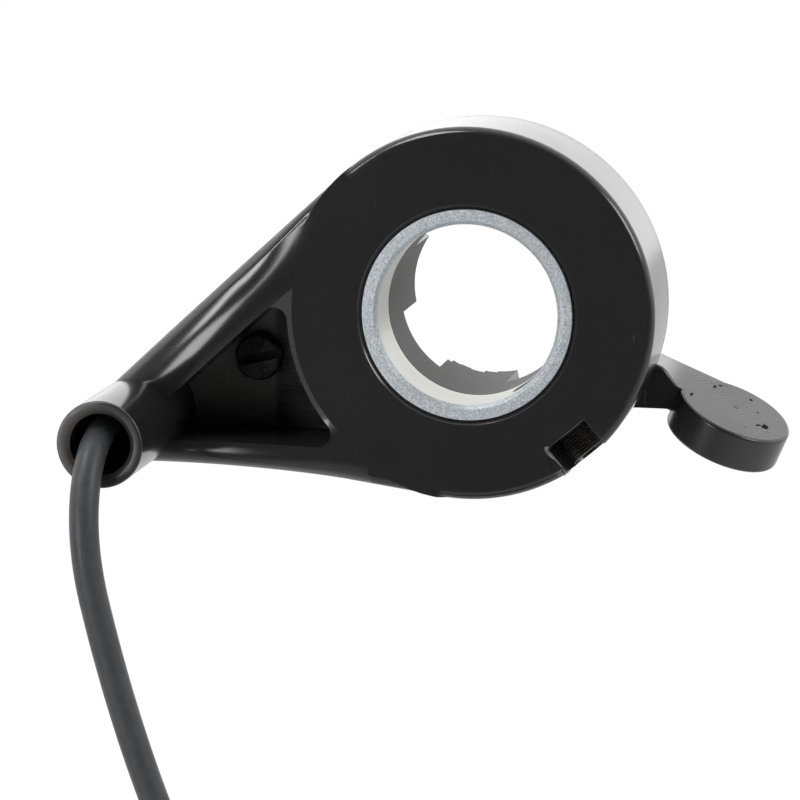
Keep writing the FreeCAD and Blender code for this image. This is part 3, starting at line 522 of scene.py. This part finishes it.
housing = smooth_copy("housing_shell", "housing", reshape=dress_housing)
BLACK = (0.012, 0.012, 0.0125)
UPPER_RAIL_X = -0.6743
UPPER_RAIL_Z = 0.7385
UPPER_RAIL_START = 16.8 * MM
UPPER_CROWN_MIDDLE = 18.8 * MM
UPPER_CROWN_R = 6.4 * MM
LOWER_CROWN_MIDDLE = -18.3 * MM
LOWER_CROWN_R = 4.0 * MM
TAIL_X = -0.944
TAIL_Z = -0.3295
CROWN_FADES_FROM = 13 * MM
CROWN_FADES_TO = 26 * MM
rail_plastic, rail_surface = moulded("housing_plastic", BLACK, 0.17, (0, 35, 0))
link = rail_plastic.node_tree.links.new
coordinates = add_node(rail_plastic.node_tree, "ShaderNodeTexCoord")
split = add_node(rail_plastic.node_tree, "ShaderNodeSeparateXYZ")
link(coordinates.outputs["Object"], split.inputs[0])


def crown(place, middle, radius):
    """The height of a round back over a rail, measured across it."""
    offset = arithmetic(rail_plastic, "SUBTRACT", place, middle)
    square = arithmetic(rail_plastic, "MULTIPLY", offset, offset)
    return arithmetic(rail_plastic, "MULTIPLY", square, -1 / (2 * radius))


def weighed(share_x, share_z):
    """A distance along a slanting line, from the places X and Z."""
    return arithmetic(rail_plastic, "ADD", arithmetic(rail_plastic, "MULTIPLY", split.outputs["X"], share_x),
                      arithmetic(rail_plastic, "MULTIPLY", split.outputs["Z"], share_z))


upper = weighed(UPPER_RAIL_X, UPPER_RAIL_Z)
rail = add_node(rail_plastic.node_tree, "ShaderNodeMix", data_type="FLOAT")
link(arithmetic(rail_plastic, "GREATER_THAN", upper, UPPER_RAIL_START), rail.inputs["Factor"])
link(crown(split.outputs["Z"], LOWER_CROWN_MIDDLE, LOWER_CROWN_R), rail.inputs["A"])
link(crown(upper, UPPER_CROWN_MIDDLE, UPPER_CROWN_R), rail.inputs["B"])
fade = add_node(rail_plastic.node_tree, "ShaderNodeMapRange", interpolation_type="SMOOTHSTEP")
fade.inputs["From Min"].default_value = CROWN_FADES_FROM
fade.inputs["From Max"].default_value = CROWN_FADES_TO
link(weighed(TAIL_X, TAIL_Z), fade.inputs["Value"])
rails = arithmetic(rail_plastic, "MULTIPLY", rail.outputs["Result"], fade.outputs["Result"])
rail_bump = add_node(rail_plastic.node_tree, "ShaderNodeBump", Strength=1.0, Distance=1.0)
link(rails, rail_bump.inputs["Height"])
link(rail_bump.outputs["Normal"], rail_surface.inputs["Normal"])
plain_plastic = moulded("body_plastic", BLACK, 0.17, (0, 35, 0))[0]

# Painted sheen: the rough part of the pocket floor gets a lighter base colour than the black moulding,
# standing in for light caught by its texture; the smooth milled part stays nearly black.
ROUGH_SHEEN_COLOUR = (0.070, 0.070, 0.066)
MILLED_COLOUR = (0.022, 0.022, 0.023)
MILLED_FROM_X = -27.2 * MM
MILLED_TO_X = -26.2 * MM
pocket_plastic, shader = new_material("pocket_floor", ROUGH_SHEEN_COLOUR, 0.30)
link = pocket_plastic.node_tree.links.new
coordinates = add_node(pocket_plastic.node_tree, "ShaderNodeTexCoord")
split = add_node(pocket_plastic.node_tree, "ShaderNodeSeparateXYZ")
link(coordinates.outputs["Object"], split.inputs[0])
milled = add_node(pocket_plastic.node_tree, "ShaderNodeMapRange", interpolation_type="SMOOTHSTEP")
milled.inputs["From Min"].default_value = MILLED_FROM_X
milled.inputs["From Max"].default_value = MILLED_TO_X
link(split.outputs["X"], milled.inputs["Value"])
texture = add_node(pocket_plastic.node_tree, "ShaderNodeMix", data_type="FLOAT")
link(milled.outputs["Result"], texture.inputs["Factor"])
link(grain(pocket_plastic, 4200, stretch=(1, 1, 0.6), detail=3, turn=(0, 35, 0)), texture.inputs["A"])
link(grain(pocket_plastic, 1.0, stretch=(200, 200, 4600), detail=2), texture.inputs["B"])
raise_surface(pocket_plastic, shader, texture.outputs["Result"], 1.0, 0.0003)
# Painted sheen: lighter base colour on the rough part, fading to near black on the milled part.
tone = ramp(pocket_plastic, milled.outputs["Result"], 0.0, 1.0, ROUGH_SHEEN_COLOUR, MILLED_COLOUR)
link(tone, shader.inputs["Base Color"])

chipped_plastic, shader = new_material("chipped_edge", (0.11, 0.11, 0.105), 0.6)
raise_surface(chipped_plastic, shader, grain(chipped_plastic, 3800), 0.9, 0.0003)
hub_plastic, shader = new_material("hub_bore", (0.055, 0.053, 0.050), 0.50)
shader.inputs["Specular IOR Level"].default_value = 0.18
raise_surface(hub_plastic, shader, grain(hub_plastic, 700), 0.15)
# Painted sheen on the tube's mouth face: lighter and browner towards the left, nearly black towards the right.
MOUTH_LEFT_X = -48.0 * MM
MOUTH_RIGHT_X = -38.5 * MM
MOUTH_SHEEN_BROWN = (0.055, 0.048, 0.043)
MOUTH_DARK = (0.012, 0.012, 0.012)
mouth_plastic, shader = new_material("tube_mouth", (0.03, 0.027, 0.025), 0.35)
link = mouth_plastic.node_tree.links.new
coordinates = add_node(mouth_plastic.node_tree, "ShaderNodeTexCoord")
split = add_node(mouth_plastic.node_tree, "ShaderNodeSeparateXYZ")
link(coordinates.outputs["Object"], split.inputs[0])
mouth_sheen_share = add_node(mouth_plastic.node_tree, "ShaderNodeMapRange")
mouth_sheen_share.inputs["From Min"].default_value = MOUTH_LEFT_X
mouth_sheen_share.inputs["From Max"].default_value = MOUTH_RIGHT_X
link(split.outputs["X"], mouth_sheen_share.inputs["Value"])
tone = ramp(mouth_plastic, mouth_sheen_share.outputs["Result"], 0.05, 0.75, MOUTH_SHEEN_BROWN, MOUTH_DARK)
link(tone, shader.inputs["Base Color"])
thread_plastic, shader = new_material("thread", (0.13, 0.12, 0.11), 0.22, 0.8)
raise_surface(thread_plastic, shader, grain(thread_plastic, 1500), 0.2)
add_slot(housing, plain_plastic)
RAIL = add_slot(housing, rail_plastic)
FLOOR_ROUGH = add_slot(housing, pocket_plastic)
CHIPPED = add_slot(housing, chipped_plastic)
HUB = add_slot(housing, hub_plastic)
MOUTH_FACE = add_slot(housing, mouth_plastic)
THREAD = add_slot(housing, thread_plastic)
POCKET_FLOOR = 8.9 * MM
POCKET_END_X = -14 * MM
HUB_BORE_LIMIT = 12 * MM
TUBE_R = 5.3 * MM
THREAD_FROM = 17.8 * MM
THREAD_TO = 23.1 * MM
THREAD_HALF = 2.6 * MM
TAIL_END_X = -12 * MM
BODY_INNER_REACH = 20 * MM
for face in housing.data.polygons:
    middle, normal = face.center, face.normal
    reach = math.hypot(middle.x, middle.z)
    outward = Vector((middle.x, 0, middle.z)).normalized().dot(normal)
    front = normal.y < -0.5 and middle.y < -1.0 * MM
    from_tube = math.hypot(middle.x - TUBE_MIDDLE.x, middle.z - TUBE_MIDDLE.z)
    down_slot, across_slot = middle.dot(SLOT_WAY), middle.dot(SLOT_ACROSS)
    slants = 0.2 < -normal.y < 0.97 and middle.y < FACE + 0.6 * MM
    if abs(middle.y - POCKET_FLOOR) < 0.05 * MM and normal.y < -0.9 and middle.x < POCKET_END_X:
        face.material_index = FLOOR_ROUGH
    elif reach < HUB_BORE_LIMIT and outward < -0.8:
        face.material_index = HUB
    elif abs(middle.y - MOUTH) < 0.6 * MM and from_tube < TUBE_R:
        face.material_index = MOUTH_FACE
    elif down_slot > SLOT_START and -3.5 * MM < across_slot < -THREAD_HALF and slants:
        face.material_index = CHIPPED
    elif THREAD_FROM < down_slot < THREAD_TO and abs(across_slot) < THREAD_HALF \
            and abs(normal.dot(SLOT_WAY)) > 0.3 and middle.y > 0:
        face.material_index = THREAD
    elif front and middle.x < TAIL_END_X and from_tube > TUBE_R + 0.1 * MM \
            and abs(middle.y - MOUTH) > 3 * MM and reach > BODY_INNER_REACH:
        face.material_index = RAIL

# Rear cover
# A thin moulded plate of the same plastic, screwed on from the pocket.
cover = smooth_copy("rear_cover", "cover")
cover_plastic = moulded("cover_plastic", BLACK, 0.22, (0, -20, 0))[0]
cover.data.materials.append(cover_plastic)


# Clamp ring
# Turned from steel tube and zinc plated: a mottled, slightly blue end face and a paler bore. It
# slides into its seat in the housing, where the grub screw holds it.
RING_EDGE_LIMIT = 12.9 * MM
RING_BEVEL = 0.12 * MM
RING_BACK = 3.9 * MM
TURNING_PITCH = 0.16 * MM
TURNING_STARTS = 12.2 * MM
TURNING_FULL = 11.9 * MM


def at_ring_edge(point):
    """Whether a point lies on the ring's outer front edge."""
    return abs(point.y - FACE) < AT_FACE and math.hypot(point.x, point.z) > RING_EDGE_LIMIT


def dress_ring(bm):
    """The turned ring's outer front edge is broken by a hair."""
    bevel(bm, sharp_edges(bm, at_ring_edge), RING_BEVEL)


ring = smooth_copy("clamp_ring", "ring", reshape=dress_ring)
zinc, shader = new_material("zinc_face", (0.60, 0.64, 0.67), 0.45, 0.45)
link = zinc.node_tree.links.new
tone = ramp(zinc, grain(zinc, 5200, detail=5), 0.38, 0.66, (0.26, 0.285, 0.31), (0.50, 0.525, 0.55))
link(tone, shader.inputs["Base Color"])
link(ramp(zinc, grain(zinc, 1400, detail=3), 0.3, 0.7, 0.34, 0.55), shader.inputs["Roughness"])
from_axis = length_from(zinc, (0, 0, 0), (0, 1, 0))
turned = arithmetic(zinc, "SINE", arithmetic(zinc, "MULTIPLY", from_axis, 2 * math.pi / TURNING_PITCH))
near_bore = add_node(zinc.node_tree, "ShaderNodeMapRange")
near_bore.inputs["From Min"].default_value = TURNING_STARTS
near_bore.inputs["From Max"].default_value = TURNING_FULL
link(from_axis, near_bore.inputs["Value"])
grooves = arithmetic(zinc, "MULTIPLY", turned, near_bore.outputs["Result"])
height = arithmetic(zinc, "ADD", grain(zinc, 4200, detail=3), arithmetic(zinc, "MULTIPLY", grooves, 0.35))
raise_surface(zinc, shader, height, 0.30, 0.0001)
zinc_bore, shader = new_material("zinc_bore", (0.40, 0.41, 0.37), 0.36, 0.9)
link = zinc_bore.node_tree.links.new
turning = grain(zinc_bore, 1.0, stretch=(60, 5200, 60), detail=2)
link(ramp(zinc_bore, turning, 0.3, 0.7, (0.33, 0.34, 0.30), (0.43, 0.44, 0.40)), shader.inputs["Base Color"])
raise_surface(zinc_bore, shader, turning, 0.10)
# Painted shadow: a near-black material for the ring's back deep in its seat and for the floor of the slotted
# screw's slot.
painted_shadow_black, shader = new_material("ring_back_shadow", (0.004, 0.004, 0.004), 0.8)
add_slot(ring, zinc)
BORE = add_slot(ring, zinc_bore)
BACK_EDGE = add_slot(ring, painted_shadow_black)
for face in ring.data.polygons:
    inward = Vector((face.center.x, 0, face.center.z)).normalized().dot(face.normal)
    if inward < -0.9:
        face.material_index = BORE
    # The ring's back, inside the housing, gets the painted shadow.
    if face.center.y > RING_BACK:
        face.material_index = BACK_EDGE

# Screws
# The grub screw in the radial hole and the slotted screw in the pocket, both blackened steel.
SLOT_FLOOR_FROM = 7.6 * MM
SLOT_FLOOR_TO = 8.0 * MM
blackened, shader = new_material("blackened_steel", (0.035, 0.035, 0.037), 0.30, 0.85)
link = blackened.node_tree.links.new
tone = ramp(blackened, grain(blackened, 1800, detail=4), 0.35, 0.7, (0.022, 0.022, 0.024), (0.06, 0.06, 0.062))
link(tone, shader.inputs["Base Color"])
raise_surface(blackened, shader, grain(blackened, 2200, detail=3), 0.15)
for node, name in (("clamp_screw", "grub_screw"), ("cover_screw", "slotted_screw")):
    screw = smooth_copy(node, name)
    add_slot(screw, blackened)
    # Painted shadow: the floor of the slotted screw's slot gets the near-black material.
    SLOT_FLOOR = add_slot(screw, painted_shadow_black)
    for face in screw.data.polygons:
        in_slot = SLOT_FLOOR_FROM < face.center.y < SLOT_FLOOR_TO and face.normal.y < -0.9
        if node == "cover_screw" and in_slot:
            face.material_index = SLOT_FLOOR

# Lever
# Hub ring, arm and round thumb pad in one glossy moulding. The pad's top is worn light and has the
# fine rings of its turned mould. The ring snaps on the housing's hub.
ARM_ANGLE = math.radians(-23.4)
ARM_WAY = Vector((math.cos(ARM_ANGLE), 0, math.sin(ARM_ANGLE)))
ARM_UP = Vector((-math.sin(ARM_ANGLE), 0, math.cos(ARM_ANGLE)))
PAD_TILT = math.radians(11.4)
PAD_AXIS = ARM_UP * math.cos(PAD_TILT) + Vector((0, -1, 0)) * math.sin(PAD_TILT)
PAD_MIDDLE = ARM_WAY * 34.3 * MM + Vector((0, 13.2, 0)) * MM
ARM_CUTS = 14
ARM_CUT_START = 23.6
ARM_CUT_PITCH = 0.26
ARM_ROOT = 20 * MM
BLEND_START = 23.5 * MM
BLEND_LENGTH = 3.4 * MM
BLEND_GAP = 0.01 * MM
ARM_END_FROM = 29.9 * MM
ARM_END_TO = 30.1 * MM
ARM_FAR_Y = 19 * MM
PAD_NEAR = 9.2 * MM
ARM_END_PULL = 1.6 * MM


def blend_arm(bm):
    """Let the arm's top sink to the pad's top, so that the two run into each other."""
    for step in range(ARM_CUTS):
        place = ARM_WAY * (ARM_CUT_START + ARM_CUT_PITCH * step) * MM
        faces = [face for face in bm.faces if face.calc_center_median().dot(ARM_WAY) > ARM_ROOT]
        edges = list({edge for face in faces for edge in face.edges})
        verts = list({vert for face in faces for vert in face.verts})
        bmesh.ops.bisect_plane(bm, geom=verts + edges + faces, dist=1e-7, plane_co=place, plane_no=ARM_WAY)
    for vert in bm.verts:
        out = vert.co.dot(ARM_WAY)
        above = (vert.co - PAD_MIDDLE).dot(PAD_AXIS)
        at_end = ARM_END_FROM < out < ARM_END_TO and vert.co.y > ARM_FAR_Y
        if out > BLEND_START and above > 0:
            share = min((out - BLEND_START) / BLEND_LENGTH, 1.0)
            share = share * share * (3 - 2 * share)
            vert.co -= PAD_AXIS * (above + BLEND_GAP) * share
        elif at_end and (vert.co - PAD_MIDDLE).length < PAD_NEAR:
            vert.co += ARM_WAY * ARM_END_PULL


PAD_BLACK = (0.030, 0.030, 0.030)
NICK_BLACK = (0.004, 0.004, 0.004)
PAD_RING_PITCH = 0.36 * MM
PAD_TOP_R = 7.5 * MM
lever = smooth_copy("lever", "thumb_lever", "lever", reshape=blend_arm)
lever_plastic = moulded("lever_plastic", (0.013, 0.013, 0.0135), 0.24, (0, 70, 0))[0]
pad_top, shader = new_material("pad_top", PAD_BLACK, 0.34)
link = pad_top.node_tree.links.new
from_middle = length_from(pad_top, PAD_MIDDLE, PAD_AXIS)
rings = arithmetic(pad_top, "SINE", arithmetic(pad_top, "MULTIPLY", from_middle, 2 * math.pi / PAD_RING_PITCH))
worn = ramp(pad_top, grain(pad_top, 160, detail=2), 0.35, 0.65, 0.35, 1.0)
raise_surface(pad_top, shader, arithmetic(pad_top, "MULTIPLY", rings, worn), 0.30, 0.00006)
nicks = ramp(pad_top, grain(pad_top, 620, stretch=(1, 0.5, 1), detail=3), 0.655, 0.68, 0.0, 1.0)
link(ramp(pad_top, nicks, 0.0, 1.0, PAD_BLACK, NICK_BLACK), shader.inputs["Base Color"])
link(ramp(pad_top, nicks, 0.0, 1.0, 0.34, 0.9), shader.inputs["Roughness"])
link(ramp(pad_top, nicks, 0.0, 1.0, 0.5, 0.05), shader.inputs["Specular IOR Level"])
add_slot(lever, lever_plastic)
PAD_TOP = add_slot(lever, pad_top)
for face in lever.data.polygons:
    from_pad = face.center - PAD_MIDDLE
    level = face.normal.dot(PAD_AXIS) > 0.97 and abs(from_pad.dot(PAD_AXIS)) < 0.1 * MM
    if level and from_pad.length < PAD_TOP_R:
        face.material_index = PAD_TOP

# Connector
# A moulded strain relief and grip, a plain keyed sleeve and three pins on the cable's far end.
satin, shader = new_material("satin_black", (0.02, 0.02, 0.021), 0.45)
link = satin.node_tree.links.new
link(ramp(satin, grain(satin, 500), 0.3, 0.7, 0.38, 0.52), shader.inputs["Roughness"])
raise_surface(satin, shader, grain(satin, 2500, detail=2), 0.1)
for node in ("connector_body", "connector_shell", "connector_insert", "coil_tie"):
    NODES[node].data.materials.clear()
    NODES[node].data.materials.append(satin)

# Small parts inside and behind
# Sensor board, hall sensor, wires, grommet, washers, spring, magnets, their caps and the pins. Each
# keeps its modelled shape and gets the finish of its own material.
INNER = {
    "sensor_board": ((0.02, 0.11, 0.05), 0.35, 0.0),
    "hall_sensor": ((0.02, 0.02, 0.02), 0.5, 0.0),
    "signal_wire": ((0.03, 0.22, 0.07), 0.4, 0.0),
    "supply_wire": ((0.45, 0.02, 0.02), 0.4, 0.0),
    "ground_wire": ((0.02, 0.02, 0.02), 0.4, 0.0),
    "cable_grommet": ((0.02, 0.02, 0.02), 0.7, 0.0),
    "thrust_washer": ((0.70, 0.69, 0.64), 0.45, 0.0),
    "keeper_washer": ((0.60, 0.62, 0.64), 0.35, 1.0),
    "return_spring": ((0.50, 0.50, 0.50), 0.3, 1.0),
    "magnet_1": ((0.60, 0.60, 0.58), 0.2, 1.0),
    "magnet_2": ((0.60, 0.60, 0.58), 0.2, 1.0),
    "magnet_cap_1": ((0.03, 0.03, 0.03), 0.4, 0.0),
    "magnet_cap_2": ((0.03, 0.03, 0.03), 0.4, 0.0),
    "connector_pins": ((0.78, 0.60, 0.28), 0.25, 1.0),
}
for node, (colour, roughness, metallic) in INNER.items():
    material, shader = new_material(node + "_finish", colour, roughness, metallic)
    link = material.node_tree.links.new
    darker = [value * 0.8 for value in colour]
    link(ramp(material, grain(material, 1200), 0.3, 0.7, darker, colour), shader.inputs["Base Color"])
    raise_surface(material, shader, grain(material, 2000), 0.08)
    NODES[node].data.materials.clear()
    NODES[node].data.materials.append(material)

# Finish
# The view layer is brought up to date.
bpy.context.view_layer.update()
